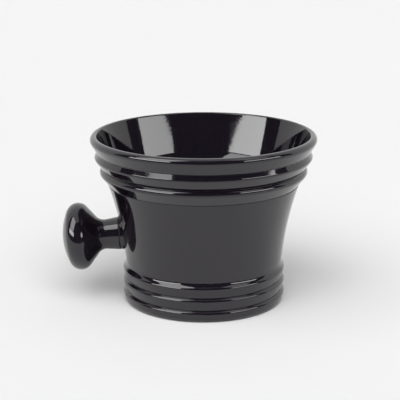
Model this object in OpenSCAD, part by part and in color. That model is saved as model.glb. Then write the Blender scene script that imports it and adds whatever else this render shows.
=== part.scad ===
// Shaving mug with a mushroom knob for a handle.
// A round-bottomed lather bowl sits in a hollow waisted base, and a knob is
// bolted to a flat boss on the waist. Millimetres, +Z up. The origin is the
// centre of the face that the mug stands on, and the knob points along -X.

/* [Overall] */
// Height of the rim above the table
mug_h = 83; // [74:0.5:100]
// Outside diameter at the widest part of the rim
rim_d = 110; // [100:0.5:132]
// Outside diameter of the three base bands
base_d = 79.8; // [66:0.2:90]

/* [Rim bands] */
// Radius of the rounded outer shoulder of the lip
lip_round = 2.1; // [1.5:0.1:3]
// Radius of the small round on the inside of the lip
lip_inner_round = 0.8; // [0.4:0.1:1]
// Width of the lip from its inner round's centre to the widest point
lip_w = 2.5; // [2.4:0.1:4]
// Height from the top groove to the rim
lip_band_h = 8; // [7:0.1:10]
// Depth of the top groove below the widest point of the lip
lip_groove = 3; // [2:0.1:3.5]
// Height from the second groove to the top groove
second_band_h = 7.9; // [7:0.1:9]
// How far the second band stands in from the lip
second_band_in = 2.05; // [1.2:0.05:2.4]
// Depth of the second groove below the widest point of the lip
second_groove = 5.5; // [4:0.1:6]
// Radius of the second band's shoulder
second_round = 1.4; // [1:0.1:1.8]
// Drop from the top groove to the second band's widest point
second_drop = 2.5; // [2.2:0.1:3.2]
// Height from the seam to the second groove
third_band_h = 7.6; // [7:0.1:10]
// How far the third band stands in from the lip
third_band_in = 4.45; // [3.8:0.05:4.8]
// Radius of the third band's shoulder
third_round = 2; // [1.2:0.1:2.4]
// Drop from the second groove to the third band's widest point
third_drop = 1.9; // [1.6:0.1:3]

/* [Bowl] */
// Slope of the upper wall, in degrees from upright
bowl_slope = 17.7; // [12:0.1:20]
// Thickness of the bowl under the seam
bowl_wall = 2; // [1.6:0.1:2.4]
// Depth of the bowl from the rim to its floor
bowl_depth = 45.5; // [40:0.5:50]
// Radius of the small flat in the middle of the bowl's floor
floor_flat_r = 5; // [3:0.5:8]
// Depth below the rim at which the round bottom starts
bowl_turn = 20.5; // [20:0.5:25]
// Radius that blends the sloping wall into the round bottom
bowl_blend = 14; // [8:0.5:20]

/* [Base] */
// How far the outside corner at the seam under the bowl stands in from the rim
seam_in = 8.2; // [7.8:0.1:8.8]
// How far the waist stands in from the base bands where it is narrowest
waist_in = 2.2; // [1.6:0.1:4]
// Height at which the waist's long hollow curve would be narrowest
waist_low_z = 3.4; // [2:0.1:8]
// Wall of the hollow base
base_wall = 1.8; // [1.5:0.1:2.2]
// Thickness of the base's floor
floor_t = 3; // [2.4:0.1:4]
// Height of each base band, from the lowest up
band_h = [5.3, 6.2, 7.6]; // [4:0.1:8]
// Height of each band's widest point above the groove under it
band_crest = [3.7, 4.6, 4.5]; // [2:0.1:5]
// Depth of the grooves between the base bands
band_groove = 1.2; // [0.6:0.05:1.6]
// Radius of each base band's shoulder
band_round = 1.5; // [1:0.1:1.6]
// Radius of the base's rounded bottom edge
toe_round = 1.7; // [0.6:0.1:1.8]
// How far that edge stands in from the base bands
toe_in = 0.35; // [0.1:0.05:0.8]
// Radius of the hollow between the top base band and the waist
bead_fillet = 3; // [1.5:0.1:5]

/* [Foot pad] */
// Diameter of the rubber pad under the base
pad_d = 66; // [50:1:70]
// Thickness of the pad
pad_t = 2; // [1.4:0.1:3]
// How far the pad stands out under the base
pad_proud = 0.5; // [0.3:0.1:1]
// Slack all round the pad in its recess
pad_gap = 0.2; // [0.1:0.05:0.4]

/* [Knob] */
// Height at which the knob's axis passes through the boss's face
knob_z = 32.9; // [31:0.1:38]
// Droop of the knob's axis below level, in degrees
knob_droop = 4.5; // [0:0.1:6]
// How far the flat face of the boss stands out from the waist
boss_out = 0.85; // [0.6:0.05:2]
// Length of the knob from its foot to the top of its dome
knob_len = 28.2; // [25:0.1:36]
// Diameter of the knob's head
knob_d = 33.2; // [28:0.1:40]
// Radius of the dome's crown
dome_round = 30.5; // [22:0.5:40]
// Radius of the head's rounded edge
edge_round = 5.8; // [4:0.1:7]
// Slope of the head's back, in degrees from the axis
back_slope = 51; // [45:1:60]
// Diameter of the stem at its foot
stem_d = 16.2; // [13.5:0.1:19.5]
// Diameter of the stem at the neck
neck_d = 14.6; // [13:0.1:16]
// Radius of the hollow between neck and head
neck_round = 5; // [3:0.1:6]

/* [Knob fixing] */
// Thickness of the gasket between the knob and its boss
gasket_t = 0.4; // [0.3:0.1:0.8]
// How far the gasket stands in from the stem's edge
gasket_in = 0.35; // [0.2:0.05:0.6]
// Thread diameter of the stud
stud_d = 5; // [4:0.2:6]
// Length of the stud inside the knob
stud_grip = 11; // [8:0.5:13]
// Length of the stud that shows past its nut
stud_tip = 1.2; // [0.8:0.1:2]
// Outside diameter of the brass insert in the knob
insert_d = 8.4; // [7.5:0.1:10]
// Length of the insert
insert_len = 12; // [10:0.5:14]
// Depth of the two knurl grooves round the insert
insert_knurl = 0.4; // [0.2:0.1:0.6]
// Thickness of the base at the boss, from its outer to its inner flat
boss_t = 5.4; // [5:0.1:6]
// Slack round the stem where the top of the boss is sunk in the waist
boss_slack = 0.3; // [0.2:0.05:0.5]
// How far the flat boss inside the base reaches past the stem's edge
inner_boss_rim = 2.4; // [2:0.1:4]
// Outside diameter and thickness of the flat washer
washer_size = [10, 1]; // [0.8:0.1:12]
// Outside diameter and thickness of the spring washer
spring_size = [9.2, 1.2]; // [0.8:0.1:12]
// Width of the cut in the spring washer
spring_cut = 1; // [0.5:0.1:1.5]
// Nut's width across its flats and its thickness
nut_size = [8, 4]; // [2.5:0.1:10]
// Slack between the stud and the holes it passes through
stud_slack = 0.2; // [0.1:0.05:0.4]
// Slack between a thread's crest and what it is screwed into
thread_slack = 0.05; // [0.02:0.01:0.1]

/* [Bowl fixing] */
// Slack between the bowl and the base that it nests in
nest_gap = 0.15; // [0.1:0.05:0.3]
// Thickness of the seal at the seam
seal_t = 0.3; // [0.2:0.1:0.8]
// How far the seal stands in from the seam's corner
seal_in = 0.2; // [0.1:0.05:0.5]
// Thread diameter of the screw that pulls the bowl down
screw_d = 4; // [3:0.5:5]
// Length of the screw under its head
screw_len = 12; // [8:0.5:12]
// Depth that the screw's pilot hole goes past its tip
pilot_spare = 0.5; // [0.2:0.1:1]
// Diameter and height of the screw's head
head_size = [7.4, 2.6]; // [2:0.1:9]
// Width of the cross cut in the screw's head, and its depth
cross_size = [1, 1.5]; // [0.6:0.1:1.8]
// Outside diameter and thickness of the washer under the head
screw_washer_size = [8, 0.8]; // [0.5:0.1:9]
// Diameter of the well that the screw goes up through
well_d = 9; // [8.6:0.1:11]
// Outside diameter of the pillar round the well
pillar_d = 13; // [12:0.5:16]
// Thickness of the ledge that the screw pulls on
ledge_t = 3; // [2:0.1:4]
// Diameter and length of the boss under the bowl
bowl_boss = [9, 8]; // [6:0.5:14]
// Gap between that boss and the pillar
boss_gap = 0.3; // [0.1:0.1:0.6]
// Number of ribs that stiffen the pillar
rib_count = 4; // [3:1:8]
// Thickness of each rib
rib_t = 1.6; // [1:0.1:2]
// Height of the ribs above the floor
rib_h = 9; // [5:0.5:14]

/* [Hidden] */
$fn = 96;
eps = 0.01;
// Holds the end of a straight run just inside the round that it meets
tuck = 0.9999;

gloss_black = [0.06, 0.06, 0.065];
knob_black = [0.05, 0.05, 0.055];
rubber_black = [0.12, 0.12, 0.12];
brass = [0.78, 0.62, 0.3];
steel = [0.7, 0.71, 0.73];
nylon = [0.85, 0.84, 0.8];

// Heights and radii of the rim, worked down from the top
rim_r = rim_d / 2;
lip_groove_z = mug_h - lip_band_h;
second_groove_z = lip_groove_z - second_band_h;
seam_z = second_groove_z - third_band_h;
lip_centre = [rim_r - lip_round, mug_h - lip_round];
lip_low = [rim_r - lip_groove, lip_groove_z];
second_centre = [rim_r - second_band_in - second_round, lip_groove_z - second_drop];
second_low = [rim_r - second_groove, second_groove_z];
third_centre = [rim_r - third_band_in - third_round, second_groove_z - third_drop];
seam_r = rim_r - seam_in;
seam_corner = [seam_r, seam_z];
lip_inner_centre = [rim_r - lip_w, mug_h - lip_inner_round];

// The bowl's inside: a sloping wall, a blend and a round bottom with a small flat
bowl_floor_z = mug_h - bowl_depth;
wall_top = lip_inner_centre + tuck * lip_inner_round * [-cos(bowl_slope), sin(bowl_slope)];
wall_run = wall_top[1] - (mug_h - bowl_turn);
wall_end = wall_top - wall_run * [tan(bowl_slope), 1];
bottom_h = wall_end[1] - bowl_floor_z;
bottom_reach = wall_end[0] - floor_flat_r;
bottom_round = (bottom_reach * bottom_reach + bottom_h * bottom_h) / (2 * bottom_h);
bottom_centre = [floor_flat_r, bowl_floor_z + bottom_round];

// The seam: the bowl's shoulder rests on a seal on the base's top edge
base_top_z = seam_z - seal_t;

// The base, worked up from the floor it stands on
base_r = base_d / 2;
toe_z = pad_proud;
groove_r = base_r - band_groove;
groove_z = [for (i = 0, z = toe_z; i <= 3; z = z + (i < 3 ? band_h[i] : 0), i = i + 1) z];
crest_centre = [for (i = [0:2]) [base_r - band_round, groove_z[i] + band_crest[i]]];
waist_r = base_r - waist_in;
waist_rise = seam_z - waist_low_z;
waist_round = (pow(seam_r - waist_r, 2) + waist_rise * waist_rise) / (2 * (seam_r - waist_r));
waist_centre = [waist_r + waist_round, waist_low_z];
toe_centre = [base_r - toe_in - toe_round, toe_z + toe_round];
fillet_centre = meet(waist_centre, waist_round - bead_fillet, crest_centre[2], band_round + bead_fillet);
fillet_bead = along(crest_centre[2], fillet_centre, band_round);
fillet_waist = along(waist_centre, fillet_centre, waist_round);
recess_top_z = pad_t;
floor_z = recess_top_z + floor_t;

// The boss, the knob and what bolts them together, along the knob's own axis:
// zero is the boss's outer face, and up is outwards
boss_face_r = waist_x(knob_z, 0) + boss_out;
stem_foot = gasket_t;
knob_top = stem_foot + knob_len;
stem_r = stem_d / 2;
neck_r = neck_d / 2;
dome_centre = [0, knob_top - dome_round];
edge_x = knob_d / 2 - edge_round;
edge_centre = [edge_x, dome_centre[1] + sqrt(pow(dome_round - edge_round, 2) - edge_x * edge_x)];
dome_end = along(dome_centre, edge_centre, dome_round);
back_start = edge_centre + edge_round * [cos(back_slope), -sin(back_slope)];
neck_centre = [neck_r + neck_round, neck_line_y(neck_r + neck_round)];
back_end = neck_centre + neck_round * [-cos(back_slope), sin(back_slope)];
stud_end = stem_foot + stud_grip;
washer_y = -boss_t;
spring_y = washer_y - washer_size[1];
nut_y = spring_y - spring_size[1];
stud_start = nut_y - nut_size[1] - stud_tip;
stud_hole_d = stud_d + 2 * stud_slack;

// The bowl's screw, worked down from the boss under the bowl
boss_foot_z = bowl_floor_z - bowl_wall - bowl_boss[1];
pillar_top_z = boss_foot_z - boss_gap;
ledge_z = pillar_top_z - ledge_t;
screw_head_z = ledge_z - screw_washer_size[1];
screw_tip_z = screw_head_z + screw_len;
pilot_depth = screw_tip_z - boss_foot_z + pilot_spare;

// Radius of the waist at a height, so far inside its surface
function waist_x(z, inset) = waist_centre[0] - sqrt(pow(waist_round + inset, 2) - pow(z - waist_centre[1], 2));

// A vector turned by an angle, in the plane
function turned(v, a) = [v[0] * cos(a) - v[1] * sin(a), v[0] * sin(a) + v[1] * cos(a)];

// The point a given distance from one point towards another
function along(from, to, distance) = from + (to - from) * distance / norm(to - from);

// The direction square to a line that lies along two circles, on the side that turn picks.
// A circle of no radius is a point.
function flank(a, ra, b, rb, turn) =
    let (d = norm(b - a)) turned((b - a) / d, turn * acos((ra - rb) / d));

// The upper point that lies at one distance from a and at another from b
function meet(a, ra, b, rb) =
    let (d = norm(b - a), u = (b - a) / d, x = (d * d + ra * ra - rb * rb) / (2 * d),
        h = sqrt(ra * ra - x * x), p = a + x * u, q = [-u[1], u[0]] * h)
    (p + q)[1] > (p - q)[1] ? p + q : p - q;

// Height at which a circle of the neck's radius, centred at radius x, touches the head's back
function neck_line_y(x) =
    let (n = [cos(back_slope), -sin(back_slope)], reach = back_start * n + neck_round)
    (reach - x * n[0]) / n[1];

// One rounded band of an outline: a round shoulder, with straight runs to the groove
// or the round corner that lies under it, and to the groove over it
module band(centre, round_r, low, high, low_r = 0) {
    low_side = flank(low, low_r, centre, round_r, -1);
    high_side = flank(high, 0, centre, round_r, 1);
    polygon([[0, low[1] - low_r], low - [0, low_r], low + tuck * low_r * low_side,
        centre + tuck * round_r * low_side, centre, centre + tuck * round_r * high_side, high, [0, high[1]]]);
    translate(centre) circle(round_r);
    if (low_r > 0) translate(low) circle(low_r);
}

// A flat ring lying on z
module ring(outer_r, inner_r, z, h) {
    translate([0, 0, z]) difference() {
        cylinder(r = outer_r, h = h);
        translate([0, 0, -eps]) cylinder(r = inner_r, h = h + 2 * eps);
    }
}

// Puts things that are made along +Z, from the boss's face, on the knob's axis
module at_knob() {
    translate([-boss_face_r, 0, knob_z]) rotate([0, -90 - knob_droop, 0]) children();
}

// The space inside the bowl, as half an outline. The blend rounds the turn
// between the sloping wall and the round bottom.
module bowl_space() {
    offset_top = wall_top - bowl_blend * [cos(bowl_slope), -sin(bowl_slope)];
    run = [-sin(bowl_slope), -cos(bowl_slope)];
    to_centre = offset_top - bottom_centre;
    b = to_centre * run;
    reach = -b + sqrt(b * b - to_centre * to_centre + pow(bottom_round - bowl_blend, 2));
    blend_centre = offset_top + reach * run;
    blend_start = blend_centre + tuck * bowl_blend * [cos(bowl_slope), -sin(bowl_slope)];
    blend_end = along(bottom_centre, blend_centre, bottom_round);
    polygon([[0, mug_h + 1], [lip_inner_centre[0], mug_h + 1], lip_inner_centre, wall_top,
        blend_start, blend_centre, blend_end, [0, blend_end[1]]]);
    translate(blend_centre) circle(bowl_blend);
    round_bottom(bottom_round, bowl_floor_z, blend_end[1]);
}

// A round bottom with a flat in its middle, as half an outline up to top_z
module round_bottom(round_r, low_z, top_z) {
    intersection() {
        union() {
            translate(bottom_centre) circle(round_r);
            translate([0, low_z]) square([floor_flat_r, round_r]);
        }
        translate([0, low_z]) square([rim_r, top_z - low_z]);
    }
}

// The outside of the bowl under its seam, as half an outline. It nests in the base.
module under_bowl() {
    difference() {
        round_bottom(bottom_round + bowl_wall, bowl_floor_z - bowl_wall, seam_z + eps);
        translate(waist_centre) circle(waist_round + base_wall + nest_gap);
    }
}

module bowl() {
    color(gloss_black) difference() {
        union() {
            rotate_extrude() {
                difference() {
                    union() {
                        band(lip_centre, lip_round, lip_low, [lip_centre[0] - eps, mug_h]);
                        band(second_centre, second_round, second_low, lip_low);
                        band(third_centre, third_round, seam_corner, second_low);
                        under_bowl();
                    }
                    bowl_space();
                    translate([-rim_r, 0]) square([rim_r, mug_h + 1]);
                }
                translate(lip_inner_centre) circle(lip_inner_round);
            }
            translate([0, 0, boss_foot_z]) cylinder(d = bowl_boss[0], h = bowl_boss[1] + bowl_wall / 2);
        }
        translate([0, 0, boss_foot_z - eps]) cylinder(d = screw_d + 2 * thread_slack, h = pilot_depth);
    }
}

// The base's outside, as half an outline
module base_outline() {
    band(crest_centre[0], band_round, toe_centre, [groove_r, groove_z[1]], toe_round);
    band(crest_centre[1], band_round, [groove_r, groove_z[1]], [groove_r, groove_z[2]]);
    band(crest_centre[2], band_round, [groove_r, groove_z[2]],
        crest_centre[2] + [0, band_round + eps]);
    difference() {
        polygon([[0, crest_centre[2][1]], crest_centre[2], fillet_bead, fillet_centre, fillet_waist,
            [0, fillet_waist[1]]]);
        translate(fillet_centre) circle(bead_fillet);
    }
    difference() {
        translate([0, fillet_waist[1] - eps]) square([seam_r, base_top_z - fillet_waist[1] + eps]);
        translate(waist_centre) circle(waist_round);
    }
}

// The base's inside, as half an outline
module base_space() {
    difference() {
        translate([0, groove_z[3] - eps]) square([seam_r, mug_h]);
        translate(waist_centre) circle(waist_round + base_wall);
    }
    translate([0, floor_z]) square([waist_x(groove_z[3], base_wall), groove_z[3] - floor_z + eps]);
}

module base() {
    color(gloss_black) difference() {
        union() {
            difference() {
                rotate_extrude() base_outline();
                rotate_extrude() base_space();
                ring(pad_d / 2 + pad_gap, 0, -1, recess_top_z + 1);
            }
            at_knob() translate([0, 0, -boss_t]) cylinder(r = stem_r, h = boss_t);
            intersection() {
                at_knob() translate([0, 0, -boss_t]) cylinder(r = stem_r + inner_boss_rim, h = boss_t);
                rotate_extrude() base_outline();
            }
            ring(pillar_d / 2, 0, recess_top_z, pillar_top_z - recess_top_z);
            for (i = [0:rib_count - 1]) rotate([0, 0, 45 + i * 360 / rib_count])
                translate([pillar_d / 2 - 1, -rib_t / 2, floor_z - eps])
                    cube([base_r - 3 * base_wall - pillar_d / 2, rib_t, rib_h]);
        }
        at_knob() translate([0, 0, -boss_t - 1]) cylinder(d = stud_hole_d, h = boss_t + 2);
        at_knob() cylinder(r = stem_r + boss_slack, h = stem_r);
        translate([0, 0, recess_top_z - 1]) cylinder(d = well_d, h = ledge_z - recess_top_z + 1);
        translate([0, 0, ledge_z - 1]) cylinder(d = screw_d + 2 * stud_slack, h = ledge_t + 2);
    }
}

module seam_seal() {
    color(rubber_black) ring(seam_r - seal_in, waist_x(seam_z, base_wall), base_top_z, seal_t);
}

module foot_pad() {
    color(rubber_black) cylinder(d = pad_d, h = pad_t);
}

// The knob's outline: stem, hollow neck, sloping back, round edge and crown
module knob_outline() {
    difference() {
        union() {
            polygon([[0, stem_foot], [stem_r, stem_foot], [neck_r, neck_centre[1]], neck_centre,
                back_end, back_start, edge_centre, dome_end, [0, dome_end[1]]]);
            translate(edge_centre) circle(edge_round);
            intersection() {
                translate(dome_centre) circle(dome_round);
                translate([0, dome_end[1]]) square([dome_end[0], dome_round]);
            }
        }
        translate(neck_centre) circle(neck_round);
    }
}

module knob() {
    color(knob_black) at_knob() difference() {
        rotate_extrude() knob_outline();
        translate([0, 0, stem_foot - 1]) cylinder(d = insert_d, h = insert_len + 1);
    }
}

module knob_insert() {
    color(brass) at_knob() difference() {
        ring(insert_d / 2, stud_d / 2 + thread_slack, stem_foot, insert_len);
        for (share = [1 / 3, 2 / 3])
            ring(insert_d, insert_d / 2 - insert_knurl, stem_foot + insert_len * share - insert_knurl,
                2 * insert_knurl);
    }
}

module knob_gasket() {
    color(rubber_black) at_knob() ring(stem_r - gasket_in, stud_hole_d / 2, 0, gasket_t);
}

module knob_stud() {
    chamfer = stud_d / 8;
    color(steel) at_knob() rotate_extrude() polygon([[0, stud_start], [stud_d / 2 - chamfer, stud_start],
        [stud_d / 2, stud_start + chamfer], [stud_d / 2, stud_end - chamfer],
        [stud_d / 2 - chamfer, stud_end], [0, stud_end]]);
}

module stud_washer() {
    color(steel) at_knob() ring(washer_size[0] / 2, stud_hole_d / 2, spring_y, washer_size[1]);
}

module stud_spring_washer() {
    color(steel) at_knob() difference() {
        ring(spring_size[0] / 2, stud_hole_d / 2, nut_y, spring_size[1]);
        translate([0, -spring_cut / 2, nut_y - 1]) cube([spring_size[0], spring_cut, spring_size[1] + 2]);
    }
}

module stud_nut() {
    color(steel) at_knob() translate([0, 0, nut_y - nut_size[1]]) difference() {
        cylinder(r = nut_size[0] / 2 / cos(30), h = nut_size[1], $fn = 6);
        translate([0, 0, -1]) cylinder(d = stud_d + 2 * thread_slack, h = nut_size[1] + 2);
    }
}

module bowl_screw() {
    color(steel) difference() {
        union() {
            translate([0, 0, screw_head_z - head_size[1]]) cylinder(d = head_size[0], h = head_size[1]);
            translate([0, 0, screw_head_z - eps]) cylinder(d = screw_d, h = screw_len - screw_d / 2 + eps);
            translate([0, 0, screw_tip_z - screw_d / 2]) cylinder(d1 = screw_d, d2 = screw_d / 4, h = screw_d / 2);
        }
        for (a = [0, 90]) rotate([0, 0, a])
            translate([-head_size[0] / 3, -cross_size[0] / 2, screw_head_z - head_size[1] - 1])
                cube([head_size[0] * 2 / 3, cross_size[0], cross_size[1] + 1]);
    }
}

module bowl_screw_washer() {
    color(nylon) ring(screw_washer_size[0] / 2, screw_d / 2 + stud_slack, screw_head_z, screw_washer_size[1]);
}

bowl();
base();
seam_seal();
foot_pad();
knob();
knob_insert();
knob_gasket();
knob_stud();
stud_washer();
stud_spring_washer();
stud_nut();
bowl_screw();
bowl_screw_washer();
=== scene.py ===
import math
import bpy
from mathutils import Matrix, Vector


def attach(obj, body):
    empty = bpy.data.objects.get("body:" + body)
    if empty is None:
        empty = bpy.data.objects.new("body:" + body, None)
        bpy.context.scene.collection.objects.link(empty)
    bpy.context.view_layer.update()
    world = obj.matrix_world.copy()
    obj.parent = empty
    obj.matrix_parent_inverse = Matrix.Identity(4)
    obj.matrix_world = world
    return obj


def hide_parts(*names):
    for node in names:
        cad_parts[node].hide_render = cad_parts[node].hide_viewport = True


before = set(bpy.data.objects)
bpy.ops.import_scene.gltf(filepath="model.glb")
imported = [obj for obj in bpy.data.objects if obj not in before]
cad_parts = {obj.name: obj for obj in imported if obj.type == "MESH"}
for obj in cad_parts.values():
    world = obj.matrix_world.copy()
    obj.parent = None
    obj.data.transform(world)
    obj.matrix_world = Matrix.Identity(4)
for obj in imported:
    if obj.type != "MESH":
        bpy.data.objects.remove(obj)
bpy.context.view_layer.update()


# ---- Base -------------------------------------------------------------------------------------
# The lower moulding: a hollow waist on three rounded bands, moulded in black ABS in a polished
# tool. A flat-faced boss stands on the waist for the knob, and ribs brace the screw's
# pillar inside. Its shape is the frame's own, finished here with the moulded gloss.

def shader_group(name, inputs, outputs):
    """A new node group with its sockets, and the nodes that stand for its inputs and outputs."""
    group = bpy.data.node_groups.new(name, "ShaderNodeTree")
    for socket, kind, value in inputs:
        item = group.interface.new_socket(socket, in_out="INPUT", socket_type=kind)
        item.default_value = value
    for socket, kind in outputs:
        group.interface.new_socket(socket, in_out="OUTPUT", socket_type=kind)
    return group, group.nodes.new("NodeGroupInput"), group.nodes.new("NodeGroupOutput")


def object_place(tree):
    """Where a point lies on the piece, in the piece's own coordinates."""
    return tree.nodes.new("ShaderNodeTexCoord").outputs["Object"]


def shaded(colour, share):
    """A colour made darker or paler by a share."""
    return tuple(c * share for c in colour[:3]) + (1,)


def feed(tree, sockets, terms):
    """Sets each socket to its number or colour, or links it to its socket."""
    for socket, term in zip(sockets, terms):
        if isinstance(term, (int, float, tuple)):
            socket.default_value = term
        else:
            tree.links.new(term, socket)


def noise(tree, place, scale, detail, rough=0.5):
    """A noise texture laid on object coordinates, with its scale a number or a socket."""
    node = tree.nodes.new("ShaderNodeTexNoise")
    names = ("Vector", "Scale", "Detail", "Roughness")
    feed(tree, [node.inputs[name] for name in names], (place, scale, detail, rough))
    return node.outputs["Fac"]


def sums(tree, how, *terms):
    """One Math node over numbers or sockets."""
    node = tree.nodes.new("ShaderNodeMath")
    node.operation = how
    feed(tree, node.inputs, terms)
    return node.outputs[0]


def span(tree, value, low, high, to_low, to_high):
    """A value mapped from one range to another, and held inside it."""
    node = tree.nodes.new("ShaderNodeMapRange")
    feed(tree, node.inputs, (value, low, high, to_low, to_high))
    return node.outputs["Result"]


def blend_colour(tree, share, first, second):
    """One colour laid over another by a mask."""
    node = tree.nodes.new("ShaderNodeMix")
    node.data_type = "RGBA"
    feed(tree, (node.inputs["Factor"], node.inputs[6], node.inputs[7]), (share, first, second))
    return node.outputs[2]


def moulded_skin():
    """Height of a polished moulding's skin: the slow sink of the wall and a faint orange peel."""
    group, given, made = shader_group("moulded_skin", [
        ("Sink Size", "NodeSocketFloat", 45.0), ("Peel Size", "NodeSocketFloat", 700.0),
        ("Peel Share", "NodeSocketFloat", 0.12)], [("Height", "NodeSocketFloat")])
    place = object_place(group)
    sink = noise(group, place, given.outputs["Sink Size"], 1.0)
    peel = noise(group, place, given.outputs["Peel Size"], 2.0)
    faint = sums(group, "MULTIPLY", peel, given.outputs["Peel Share"])
    group.links.new(sums(group, "ADD", sink, faint), made.inputs["Height"])
    return group


def handling_marks():
    """Where fingers and cloths have dulled a polish: soft smudges and hair scratches."""
    group, given, made = shader_group("handling_marks", [
        ("Smudge Size", "NodeSocketFloat", 28.0), ("Scratch Size", "NodeSocketFloat", 160.0)],
        [("Smudge", "NodeSocketFloat"), ("Scratch", "NodeSocketFloat")])
    place = object_place(group)
    cloud = noise(group, place, given.outputs["Smudge Size"], 5.0, 0.62)
    group.links.new(span(group, cloud, 0.48, 0.72, 0.0, 1.0), made.inputs["Smudge"])
    drawn = group.nodes.new("ShaderNodeMapping")
    drawn.inputs["Rotation"].default_value = (0.35, 0.2, 0.6)
    drawn.inputs["Scale"].default_value = (1.0, 14.0, 1.3)
    group.links.new(place, drawn.inputs["Vector"])
    hair = noise(group, drawn.outputs["Vector"], given.outputs["Scratch Size"], 2.0, 0.4)
    line = sums(group, "ABSOLUTE", sums(group, "SUBTRACT", hair, 0.5))
    thin = span(group, line, 0.0, 0.012, 1.0, 0.0)
    handled = span(group, cloud, 0.4, 0.6, 0.0, 1.0)
    group.links.new(sums(group, "MULTIPLY", thin, handled), made.inputs["Scratch"])
    return group


def settled_dust():
    """Sparse specks of dust, thicker on the faces that look up."""
    group, given, made = shader_group("settled_dust", [
        ("Speck Size", "NodeSocketFloat", 900.0), ("Amount", "NodeSocketFloat", 0.5)],
        [("Mask", "NodeSocketFloat")])
    place = object_place(group)
    up = group.nodes.new("ShaderNodeSeparateXYZ")
    group.links.new(group.nodes.new("ShaderNodeNewGeometry").outputs["Normal"], up.inputs[0])
    cells = group.nodes.new("ShaderNodeTexVoronoi")
    group.links.new(place, cells.inputs["Vector"])
    group.links.new(given.outputs["Speck Size"], cells.inputs["Scale"])
    speck = span(group, cells.outputs["Distance"], 0.05, 0.14, 1.0, 0.0)
    patch = span(group, noise(group, place, 60.0, 3.0), 0.52, 0.75, 0.0, 1.0)
    lain = span(group, up.outputs["Z"], 0.1, 0.9, 0.15, 1.0)
    some = sums(group, "MULTIPLY", sums(group, "MULTIPLY", speck, patch), lain)
    group.links.new(sums(group, "MULTIPLY", some, given.outputs["Amount"]), made.inputs["Mask"])
    return group


def raise_skin(tree, shader, height, distance):
    """Lifts a surface by a height, through a Bump node."""
    bump = tree.nodes.new("ShaderNodeBump")
    bump.inputs["Distance"].default_value = distance
    tree.links.new(height, bump.inputs["Height"])
    tree.links.new(bump.outputs["Normal"], shader.inputs["Normal"])


def placed(tree, group, **values):
    """A group node in a material, with that material's own values."""
    node = tree.nodes.new("ShaderNodeGroup")
    node.node_tree = group
    for name, value in values.items():
        node.inputs[name.replace("_", " ")].default_value = value
    return node


def blank_material(name):
    """A material with its Principled shader, ready for its nodes."""
    material = bpy.data.materials.new(name)
    material.use_nodes = True
    return material, material.node_tree, material.node_tree.nodes["Principled BSDF"]


SKIN = moulded_skin()
MARKS = handling_marks()
DUST = settled_dust()
DUST_GREY = (0.30, 0.29, 0.28, 1)
GLOSS_IOR = 1.6
SMUDGE_DULLS, SCRATCH_DULLS = 0.035, 0.10


def gloss_plastic(name, colour, polish, sink, dust):
    """Black ABS out of a polished tool: deep colour, wet gloss, faint sink and marks of use."""
    material, tree, shader = blank_material(name)
    place = object_place(tree)
    flow = span(tree, noise(tree, place, 35.0, 3.0), 0.3, 0.7, 0.0, 1.0)
    deep = shaded(colour, 0.8)
    body = blend_colour(tree, flow, deep, colour)
    specks = placed(tree, DUST, Amount=dust)
    tree.links.new(blend_colour(tree, specks.outputs["Mask"], body, DUST_GREY), shader.inputs["Base Color"])
    marks = placed(tree, MARKS)
    worn = sums(tree, "MULTIPLY", marks.outputs["Smudge"], SMUDGE_DULLS)
    cut = sums(tree, "MULTIPLY", marks.outputs["Scratch"], SCRATCH_DULLS)
    dull = sums(tree, "ADD", sums(tree, "ADD", worn, cut), polish)
    tree.links.new(sums(tree, "ADD", dull, specks.outputs["Mask"]), shader.inputs["Roughness"])
    shader.inputs["IOR"].default_value = GLOSS_IOR
    raise_skin(tree, shader, placed(tree, SKIN).outputs["Height"], sink)
    return material


def finish_node(node, material):
    """Gives a frame node its finish."""
    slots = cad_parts[node].data.materials
    slots.clear()
    slots.append(material)


BASE_BLACK = (0.0088, 0.0062, 0.0106, 1)
base_gloss = gloss_plastic("base_gloss", BASE_BLACK, polish=0.045, sink=0.00006, dust=0.25)
finish_node("base", base_gloss)


# ---- Foot pad ---------------------------------------------------------------------------------
# A die-cut disc of black rubber glued in the recess under the base. It stops the mug sliding on a
# wet shelf and covers the screw's well.

def rubber(name, colour, grain, rough):
    """Matt moulded rubber with a fine open grain and a greyer bloom in patches."""
    material, tree, shader = blank_material(name)
    place = object_place(tree)
    bloom = span(tree, noise(tree, place, 70.0, 5.0, 0.6), 0.4, 0.75, 0.0, 1.0)
    pale = shaded(colour, 2.2)
    tree.links.new(blend_colour(tree, bloom, colour, pale), shader.inputs["Base Color"])
    tree.links.new(span(tree, bloom, 0.0, 1.0, rough, rough + 0.15), shader.inputs["Roughness"])
    raise_skin(tree, shader, noise(tree, place, grain, 3.0, 0.7), 0.00008)
    return material


PAD_BLACK = (0.022, 0.022, 0.022, 1)
finish_node("foot_pad", rubber("pad_rubber", PAD_BLACK, grain=1800.0, rough=0.62))


# ---- Bowl -------------------------------------------------------------------------------------
# The upper moulding: the lather bowl with its thick lip and two more bands, black ABS from the
# same polished tool. It nests in the base and hangs a small boss for the screw that pulls it down.

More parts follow.
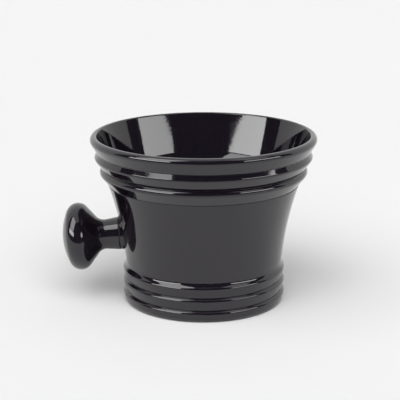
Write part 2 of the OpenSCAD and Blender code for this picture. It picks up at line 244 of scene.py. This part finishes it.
MM = 0.001
MUG_H = 83.0
RIM_R = 55.0
LIP_ROUND, LIP_INNER_ROUND, LIP_W = 2.1, 0.8, 2.5
LIP_Z = MUG_H - 8.0
LIP_GROOVE_IN = 3.0
SECOND_Z = LIP_Z - 7.9
SECOND_IN, SECOND_ROUND, SECOND_DROP, SECOND_GROOVE_IN = 2.05, 1.4, 2.5, 5.5
THIRD_IN, THIRD_ROUND, THIRD_DROP = 4.45, 2.0, 1.9
SEAM_Z = SECOND_Z - 7.6
SEAM_R = RIM_R - 8.2
SEAM_EDGE = 0.25
WAIST_R, WAIST_LOW_Z = 37.7, 3.4
WAIST_CURVE = ((SEAM_R - WAIST_R) ** 2 + (SEAM_Z - WAIST_LOW_Z) ** 2) / (2 * (SEAM_R - WAIST_R))
WAIST_X = WAIST_R + WAIST_CURVE
BASE_WALL, NEST_GAP = 1.8, 0.15
NEST_CURVE = WAIST_CURVE + BASE_WALL + NEST_GAP
BOWL_WALL = 2.0
FLOOR_Z = MUG_H - 45.5
FLOOR_FLAT = 5.0
TURN_Z = MUG_H - 20.5
BLEND = 14.0
SLOPE = math.radians(17.7)
BOSS_R, BOSS_LEN, BOSS_EDGE, BOSS_FILLET = 4.5, 8.0, 0.3, 0.5
PILOT_R, PILOT_TOP = 2.05, 35.9
TIGHT = 0.12


def thread(pins, step=5.0, reach=2.0):
    """The outline that a thread takes round a row of pins, as points with their outward normals.
    A pin is (r, z, round): a positive round turns left, a negative one is a hollow. The first and
    the last pin only hold the thread."""
    runs = []
    for (r1, z1, q1), (r2, z2, q2) in zip(pins, pins[1:]):
        far = math.hypot(r2 - r1, z2 - z1)
        lean = math.asin(max(-1.0, min(1.0, (q2 - q1) / far)))
        runs.append(math.atan2(z2 - z1, r2 - r1) - lean)
    points = []
    for (r, z, q), a, b in zip(pins[1:-1], runs, runs[1:]):
        turn = (b - a + math.pi) % (2 * math.pi) - math.pi
        n = max(1, math.ceil(max(abs(math.degrees(turn)) / step, abs(turn * q) / reach)))
        for k in range(n + 1):
            t = a + turn * k / n
            points.append((r + q * math.sin(t), z - q * math.cos(t), math.sin(t), -math.cos(t)))
    return points


def turned(name, outline, sides, set_up=Matrix()):
    """A turned solid from half an outline in millimetres, with the outline's own normals."""
    verts, normals, faces, rings = [], [], [], []
    for r, z, nr, nz in outline:
        first = len(verts)
        count = 1 if r < 1e-6 else sides
        for k in range(count):
            a = 2 * math.pi * k / sides
            verts.append(set_up @ Vector((r * MM * math.cos(a), r * MM * math.sin(a), z * MM)))
            normal = Vector((nr * math.cos(a), nr * math.sin(a), nz))
            normals.append((set_up.to_3x3() @ normal).normalized())
        rings.append((first, count))
    for (a, na), (b, nb) in zip(rings, rings[1:]):
        for k in range(sides):
            low = [a + k % na, a + (k + 1) % na] if na > 1 else [a]
            high = [b + (k + 1) % nb, b + k % nb] if nb > 1 else [b]
            faces.append(low + high)
    mesh = bpy.data.meshes.new(name)
    mesh.from_pydata(verts, [], faces)
    mesh.shade_smooth()
    mesh.normals_split_custom_set_from_vertices(normals)
    piece = bpy.data.objects.new(name, mesh)
    bpy.context.scene.collection.objects.link(piece)
    return piece


def crossing(a, ra, b, rb):
    """The lower of the two points that lie ra from a and rb from b."""
    d = math.dist(a, b)
    ux, uz = (b[0] - a[0]) / d, (b[1] - a[1]) / d
    x = (d * d + ra * ra - rb * rb) / (2 * d)
    h = math.sqrt(ra * ra - x * x)
    spots = [(a[0] + x * ux - s * uz * h, a[1] + x * uz + s * ux * h) for s in (1, -1)]
    return min(spots, key=lambda spot: spot[1])


def bowl_outline():
    """Half the bowl's outline, from the top of its screw hole out round the lip to its floor."""
    lip_inner = (RIM_R - LIP_W, MUG_H - LIP_INNER_ROUND)
    wall_top = (lip_inner[0] - LIP_INNER_ROUND * math.cos(SLOPE),
                lip_inner[1] + LIP_INNER_ROUND * math.sin(SLOPE))
    reach = wall_top[0] - (wall_top[1] - TURN_Z) * math.tan(SLOPE) - FLOOR_FLAT
    rise = TURN_Z - FLOOR_Z
    bottom = (reach ** 2 + rise ** 2) / (2 * rise)
    centre = (FLOOR_FLAT, FLOOR_Z + bottom)
    top = (wall_top[0] - BLEND * math.cos(SLOPE), wall_top[1] + BLEND * math.sin(SLOPE))
    run = (-math.sin(SLOPE), -math.cos(SLOPE))
    off = (top[0] - centre[0], top[1] - centre[1])
    b = off[0] * run[0] + off[1] * run[1]
    t = -b + math.sqrt(b * b - off[0] ** 2 - off[1] ** 2 + (bottom - BLEND) ** 2)
    blend = (top[0] + t * run[0], top[1] + t * run[1])
    under = bottom + BOWL_WALL
    waist = (WAIST_X, WAIST_LOW_Z)
    corner = crossing(centre, under - TIGHT, waist, NEST_CURVE + TIGHT)
    shoulder_z = SEAM_Z - TIGHT
    shoulder = WAIST_X - math.sqrt((NEST_CURVE - TIGHT) ** 2 - (shoulder_z - WAIST_LOW_Z) ** 2)
    foot_z = FLOOR_Z - BOWL_WALL - BOSS_LEN
    pins = [
        (-1, PILOT_TOP, 0),
        (PILOT_R - TIGHT, PILOT_TOP - TIGHT, -TIGHT),
        (PILOT_R + BOSS_EDGE, foot_z + BOSS_EDGE, BOSS_EDGE),
        (BOSS_R - BOSS_EDGE, foot_z + BOSS_EDGE, BOSS_EDGE),
        (BOSS_R + BOSS_FILLET, FLOOR_Z - BOWL_WALL - BOSS_FILLET, -BOSS_FILLET),
        (*centre, under),
        (*corner, TIGHT),
        (*waist, -NEST_CURVE),
        (shoulder, shoulder_z, -TIGHT),
        (SEAM_R - SEAM_EDGE, SEAM_Z + SEAM_EDGE, SEAM_EDGE),
        (RIM_R - THIRD_IN - THIRD_ROUND, SECOND_Z - THIRD_DROP, THIRD_ROUND),
        (RIM_R - SECOND_GROOVE_IN + TIGHT, SECOND_Z, -TIGHT),
        (RIM_R - SECOND_IN - SECOND_ROUND, LIP_Z - SECOND_DROP, SECOND_ROUND),
        (RIM_R - LIP_GROOVE_IN + TIGHT, LIP_Z, -TIGHT),
        (RIM_R - LIP_ROUND, MUG_H - LIP_ROUND, LIP_ROUND),
        (*lip_inner, LIP_INNER_ROUND),
        (*blend, -BLEND),
        (*centre, -bottom),
        (-1, FLOOR_Z, 0)]
    return [(0.0, PILOT_TOP, 0.0, -1.0)] + thread(pins) + [(0.0, FLOOR_Z, 0.0, 1.0)]


bowl = turned("bowl_moulding", bowl_outline(), sides=360)
bowl.data.materials.append(gloss_plastic("bowl_gloss", BASE_BLACK, polish=0.045, sink=0.00006, dust=0.25))
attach(bowl, "root")
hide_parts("bowl")


# ---- Seam seal --------------------------------------------------------------------------------
# A flat ring of black rubber squeezed between the bowl's shoulder and the base's top edge, which
# keeps water out of the hollow base.

SEAL_BLACK = (0.014, 0.014, 0.014, 1)
finish_node("seam_seal", rubber("seal_rubber", SEAL_BLACK, grain=2600.0, rough=0.5))


# ---- Bowl screw and washer --------------------------------------------------------------------
# One zinc-plated thread-cutting screw goes up the well in the base and pulls the bowl down, with
# a natural nylon washer under its head.

def thread_ridges():
    """Height of a rolled thread along an axis that leans in the XZ plane, in object coordinates."""
    group, given, made = shader_group("thread_ridges", [
        ("Lean", "NodeSocketFloat", 0.0), ("Pitch", "NodeSocketFloat", 0.0008)],
        [("Height", "NodeSocketFloat")])
    place = object_place(group)
    parts = group.nodes.new("ShaderNodeSeparateXYZ")
    group.links.new(place, parts.inputs[0])
    across = sums(group, "MULTIPLY", parts.outputs["X"], sums(group, "SINE", given.outputs["Lean"]))
    along = sums(group, "MULTIPLY", parts.outputs["Z"], sums(group, "COSINE", given.outputs["Lean"]))
    turns = sums(group, "DIVIDE", sums(group, "ADD", across, along), given.outputs["Pitch"])
    wave = sums(group, "PINGPONG", turns, 0.5)
    group.links.new(wave, made.inputs["Height"])
    return group


THREAD = thread_ridges()
ZINC, ZINC_WARM = (0.60, 0.63, 0.67, 1), (0.70, 0.67, 0.58, 1)
NYLON, NYLON_PALE = (0.80, 0.79, 0.73, 1), (0.86, 0.85, 0.80, 1)


def zinc_steel(name, lean=0.0, pitch=0.0):
    """Bright zinc plate over steel, with a faint warm passivation, and a thread where there is one."""
    material, tree, shader = blank_material(name)
    place = object_place(tree)
    warm = span(tree, noise(tree, place, 180.0, 4.0), 0.35, 0.7, 0.0, 1.0)
    tree.links.new(blend_colour(tree, warm, ZINC, ZINC_WARM), shader.inputs["Base Color"])
    rub = span(tree, noise(tree, place, 900.0, 4.0), 0.3, 0.7, 0.22, 0.42)
    tree.links.new(rub, shader.inputs["Roughness"])
    shader.inputs["Metallic"].default_value = 1.0
    if pitch:
        ridges = placed(tree, THREAD, Lean=lean, Pitch=pitch).outputs["Height"]
        raise_skin(tree, shader, ridges, 0.0004)
    else:
        raise_skin(tree, shader, noise(tree, place, 2500.0, 2.0), 0.00003)
    return material


def natural_nylon(name):
    """Milky nylon with a soft mould grain."""
    material, tree, shader = blank_material(name)
    place = object_place(tree)
    cloud = noise(tree, place, 260.0, 3.0)
    tree.links.new(blend_colour(tree, cloud, NYLON, NYLON_PALE), shader.inputs["Base Color"])
    tree.links.new(span(tree, cloud, 0.3, 0.7, 0.42, 0.55), shader.inputs["Roughness"])
    raise_skin(tree, shader, noise(tree, place, 2200.0, 2.0), 0.00003)
    return material


finish_node("bowl_screw", zinc_steel("screw_zinc", lean=0.0, pitch=0.0014))
finish_node("bowl_screw_washer", natural_nylon("washer_nylon"))


# ---- Knob -------------------------------------------------------------------------------------
# The handle: a solid mushroom knob with its own stem, moulded in the same black and buffed. It
# points along -X with a slight droop and meets the boss on a flat foot.

KNOB_Z = 32.9
DROOP = math.radians(4.5)
BOSS_OUT = 0.85
BOSS_FACE = WAIST_X - math.sqrt(WAIST_CURVE ** 2 - (KNOB_Z - WAIST_LOW_Z) ** 2) + BOSS_OUT
KNOB_FOOT, KNOB_LEN = 0.4, 28.2
STEM_R, STEM_EDGE, NECK_R, NECK_ROUND = 8.1, 0.3, 7.3, 5.0
HEAD_R, EDGE_ROUND, CROWN = 16.6, 5.8, 30.5
BACK_SLOPE = math.radians(51)
INSERT_R, INSERT_LEN = 4.2, 12.0


def knob_outline():
    """Half the knob's outline, from its insert hole round the stem and the head to the crown."""
    tip = KNOB_FOOT + KNOB_LEN
    edge = (HEAD_R - EDGE_ROUND,
            tip - CROWN + math.sqrt((CROWN - EDGE_ROUND) ** 2 - (HEAD_R - EDGE_ROUND) ** 2))
    out = (math.cos(BACK_SLOPE), -math.sin(BACK_SLOPE))
    reach = edge[0] * out[0] + edge[1] * out[1] + EDGE_ROUND + NECK_ROUND
    neck_x = NECK_R + NECK_ROUND
    hole_top = KNOB_FOOT + INSERT_LEN
    pins = [
        (-1, hole_top, 0),
        (INSERT_R - TIGHT, hole_top - TIGHT, -TIGHT),
        (INSERT_R + TIGHT, KNOB_FOOT + TIGHT, TIGHT),
        (STEM_R - STEM_EDGE, KNOB_FOOT + STEM_EDGE, STEM_EDGE),
        (neck_x, (reach - neck_x * out[0]) / out[1], -NECK_ROUND),
        (*edge, EDGE_ROUND),
        (0, tip - CROWN, CROWN),
        (-1, tip, 0)]
    return [(0.0, hole_top, 0.0, -1.0)] + thread(pins, step=4.0, reach=1.0) + [(0.0, tip, 0.0, 1.0)]


KNOB_SET_UP = Matrix.Translation((-BOSS_FACE * MM, 0, KNOB_Z * MM)) @ Matrix.Rotation(
    -math.pi / 2 - DROOP, 4, "Y")
knob = turned("knob_moulding", knob_outline(), 240, KNOB_SET_UP)
knob.data.materials.append(gloss_plastic("knob_gloss", BASE_BLACK, polish=0.06, sink=0.00004, dust=0.15))
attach(knob, "root")
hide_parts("knob")


# ---- Knob gasket, insert, stud, washers and nut -----------------------------------------------
# A knurled brass insert is set in the stem, and an M5 stud in it goes through a thin rubber
# gasket and the boss to a washer, a spring washer and a nut inside the base.

def knurl():
    """Height of a diamond knurl round the knob's axis."""
    group, given, made = shader_group("knurl", [
        ("Teeth", "NodeSocketFloat", 24.0), ("Slant", "NodeSocketFloat", 6000.0)],
        [("Height", "NodeSocketFloat")])
    place = object_place(group)
    swing = group.nodes.new("ShaderNodeMapping")
    level = Matrix.Rotation(DROOP + math.pi / 2, 3, "Y")
    foot = level @ Vector((-BOSS_FACE * MM, 0, KNOB_Z * MM))
    swing.inputs["Location"].default_value = -foot
    swing.inputs["Rotation"].default_value = (0, DROOP + math.pi / 2, 0)
    group.links.new(place, swing.inputs["Vector"])
    parts = group.nodes.new("ShaderNodeSeparateXYZ")
    group.links.new(swing.outputs["Vector"], parts.inputs[0])
    angle = sums(group, "ARCTAN2", parts.outputs["Y"], parts.outputs["X"])
    round_way = sums(group, "MULTIPLY", angle, given.outputs["Teeth"])
    long_way = sums(group, "MULTIPLY", parts.outputs["Z"], given.outputs["Slant"])
    one = sums(group, "SINE", sums(group, "ADD", round_way, long_way))
    other = sums(group, "SINE", sums(group, "SUBTRACT", round_way, long_way))
    group.links.new(sums(group, "MAXIMUM", one, other), made.inputs["Height"])
    return group


BRASS, BRASS_TARNISHED = (0.78, 0.60, 0.30, 1), (0.52, 0.36, 0.16, 1)


def knurled_brass(name):
    """Turned brass with its knurl and a little tarnish."""
    material, tree, shader = blank_material(name)
    place = object_place(tree)
    tarnish = span(tree, noise(tree, place, 400.0, 4.0), 0.4, 0.75, 0.0, 1.0)
    tree.links.new(blend_colour(tree, tarnish, BRASS, BRASS_TARNISHED), shader.inputs["Base Color"])
    tree.links.new(span(tree, tarnish, 0.0, 1.0, 0.25, 0.45), shader.inputs["Roughness"])
    shader.inputs["Metallic"].default_value = 1.0
    raise_skin(tree, shader, placed(tree, knurl()).outputs["Height"], 0.0002)
    return material


GASKET_BLACK = (0.012, 0.012, 0.012, 1)
finish_node("knob_gasket", rubber("gasket_rubber", GASKET_BLACK, grain=2600.0, rough=0.5))
finish_node("knob_insert", knurled_brass("insert_brass"))
finish_node("knob_stud", zinc_steel("stud_zinc", lean=math.pi / 2 - DROOP, pitch=0.0008))
for node in ("stud_washer", "stud_spring_washer", "stud_nut"):
    finish_node(node, zinc_steel(node + "_zinc"))


# ---- Studio -----------------------------------------------------------------------------------
# A pale sheet lies under the mug in a pale room, lit by broad soft light. Dark cards that show only in
# reflections lie and stand round its front as painted dark reflections, with soft lamps inside them.

def studio_paper(name, colour, rough):
    """Matt paper with the least change of tint."""
    material, tree, shader = blank_material(name)
    shader.inputs["Roughness"].default_value = rough
    shader.inputs["Specular IOR Level"].default_value = 0.0
    place = object_place(tree)
    shade = shaded(colour, 0.99)
    tint = blend_colour(tree, noise(tree, place, 3.0, 2.0), shade, colour)
    tree.links.new(tint, shader.inputs["Base Color"])
    return material


def staged(name, verts, faces, paper):
    """A sheet or card of the studio, which isn't part of the mug."""
    mesh = bpy.data.meshes.new(name)
    mesh.from_pydata(verts, [], faces)
    mesh.materials.append(paper)
    sheet = bpy.data.objects.new(name, mesh)
    bpy.context.scene.collection.objects.link(sheet)
    return sheet


def flat(low, high, z):
    """The four corners of a level sheet."""
    return [(low[0], low[1], z), (high[0], low[1], z), (high[0], high[1], z), (low[0], high[1], z)]


def only_in_gloss(thing):
    """Keeps a card in the reflections and out of everything else."""
    thing.visible_camera = False
    thing.visible_diffuse = False
    thing.visible_shadow = False
    thing.visible_transmission = False
    thing.visible_volume_scatter = False


FLOOR_WHITE = (0.93, 0.93, 0.93, 1)
# Dark grey of the cards that show only in reflections: a painted dark reflection, which neither the camera
# nor the light sees.
PAINTED_REFLECTION_DARK = (0.09, 0.088, 0.11, 1)
SWEEP = 4.0
CARD_LIFT, CARD_START = 0.0006, -0.22
CARD_FAR, CARD_TALL, CARD_HALF = 3.0, 6.0, math.radians(97)
CARD_STEPS = 24

staged("floor", flat((-SWEEP, -SWEEP), (SWEEP, SWEEP), 0), [(0, 1, 2, 3)],
       studio_paper("floor", FLOOR_WHITE, 0.6))
# Painted dark reflections: the front card lies over the pale sheet and the round card stands round the
# front, and both show only in reflections.
painted_reflection_paper = studio_paper("front_painted_reflection_card", PAINTED_REFLECTION_DARK, 0.9)
only_in_gloss(staged("front_painted_reflection_card", flat((-SWEEP, -SWEEP), (SWEEP, CARD_START), CARD_LIFT), [(0, 1, 2, 3)],
                     painted_reflection_paper))
card_verts = []
for step in range(CARD_STEPS + 1):
    turn = -math.pi / 2 - CARD_HALF + 2 * CARD_HALF * step / CARD_STEPS
    for height in (0, CARD_TALL):
        card_verts.append((CARD_FAR * math.cos(turn), CARD_FAR * math.sin(turn), height))
card_faces = [(2 * k, 2 * k + 2, 2 * k + 3, 2 * k + 1) for k in range(CARD_STEPS)]
only_in_gloss(staged("round_painted_reflection_card", card_verts, card_faces, painted_reflection_paper))


def hung(lamp, place, aim):
    """A lamp at a place, looking at a point."""
    thing = bpy.data.objects.new(lamp.name, lamp)
    thing.location = place
    thing.rotation_euler = (Vector(aim) - Vector(place)).to_track_quat("-Z", "Y").to_euler()
    bpy.context.scene.collection.objects.link(thing)
    return thing


def softbox(name, place, aim, size, glow):
    """A rectangular lamp that looks at a point and shows only as a glint on the gloss."""
    lamp = bpy.data.lights.new(name, "AREA")
    lamp.shape = "RECTANGLE"
    lamp.size, lamp.size_y = size
    lamp.energy = glow * math.pi * size[0] * size[1]
    thing = hung(lamp, place, aim)
    thing.visible_camera = False
    thing.visible_diffuse = False


def round_from_front(degrees, far, height):
    """A place round the mug, measured from straight in front towards the right."""
    a = math.radians(degrees)
    return (far * math.sin(a), -far * math.cos(a), height)


def soft_sun(name, degrees, height, spread, strength):
    """Broad even light from one side, for the sheet and the soft shadows. It leaves no glint."""
    lamp = bpy.data.lights.new(name, "SUN")
    lamp.angle = math.radians(spread)
    lamp.energy = strength
    place = round_from_front(degrees, 1.0, math.tan(math.radians(height)))
    hung(lamp, place, (0, 0, 0)).visible_glossy = False


LAMP_FAR = 1.3
GLINTS = (
    # name, degrees from the front, its height, the height it looks at, size, glow
    ("left_low", -55, 0.45, 0.45, (1.08, 0.34), 7.4),
    ("left_high", -55, 1.45, 0.2, (1.2, 1.4), 4.0),
    ("right_low", 60, 0.45, 0.45, (0.98, 0.36), 5.2),
    ("right_high", 64, 1.75, 0.05, (0.95, 1.1), 1.4))
SUNS = (
    # name, degrees from the front, degrees above the sheet, degrees of spread, strength
    ("front_light", 2, 48, 60, 2.2),
    ("right_light", 62, 50, 55, 0.3),
    ("left_light", -62, 50, 55, 0.85),
    ("back_light", 180, 58, 80, 0.3))

for name, degrees, height, looks_at, size, glow in GLINTS:
    softbox(name, round_from_front(degrees, LAMP_FAR, height), (0, 0, looks_at), size, glow)
for sun in SUNS:
    soft_sun(*sun)

scene = bpy.context.scene
scene.view_settings.view_transform = "Standard"
world = bpy.data.worlds.new("pale_room")
scene.world = world
world.use_nodes = True
room = world.node_tree.nodes["Background"]
room.inputs["Color"].default_value = (1, 1, 1, 1)
ROOM_SEEN, ROOM_LIGHT = 0.91, 0.11
ray = world.node_tree.nodes.new("ShaderNodeLightPath")
strength = span(world.node_tree, ray.outputs["Is Diffuse Ray"], 0.0, 1.0, ROOM_SEEN, ROOM_LIGHT)
world.node_tree.links.new(strength, room.inputs["Strength"])

camera = bpy.data.cameras.new("camera")
camera.sensor_width = 36
camera.lens = 112.95
camera.clip_start = 0.01
camera_stand = bpy.data.objects.new("camera", camera)
CAMERA_PLACE = (-0.001773, -0.59491, 0.21178)
CAMERA_TILT, CAMERA_ROLL = math.radians(74.751), math.radians(-0.15)
look = Matrix.Rotation(CAMERA_TILT, 4, "X") @ Matrix.Rotation(CAMERA_ROLL, 4, "Z")
camera_stand.matrix_world = Matrix.Translation(CAMERA_PLACE) @ look
scene.collection.objects.link(camera_stand)
scene.camera = camera_stand
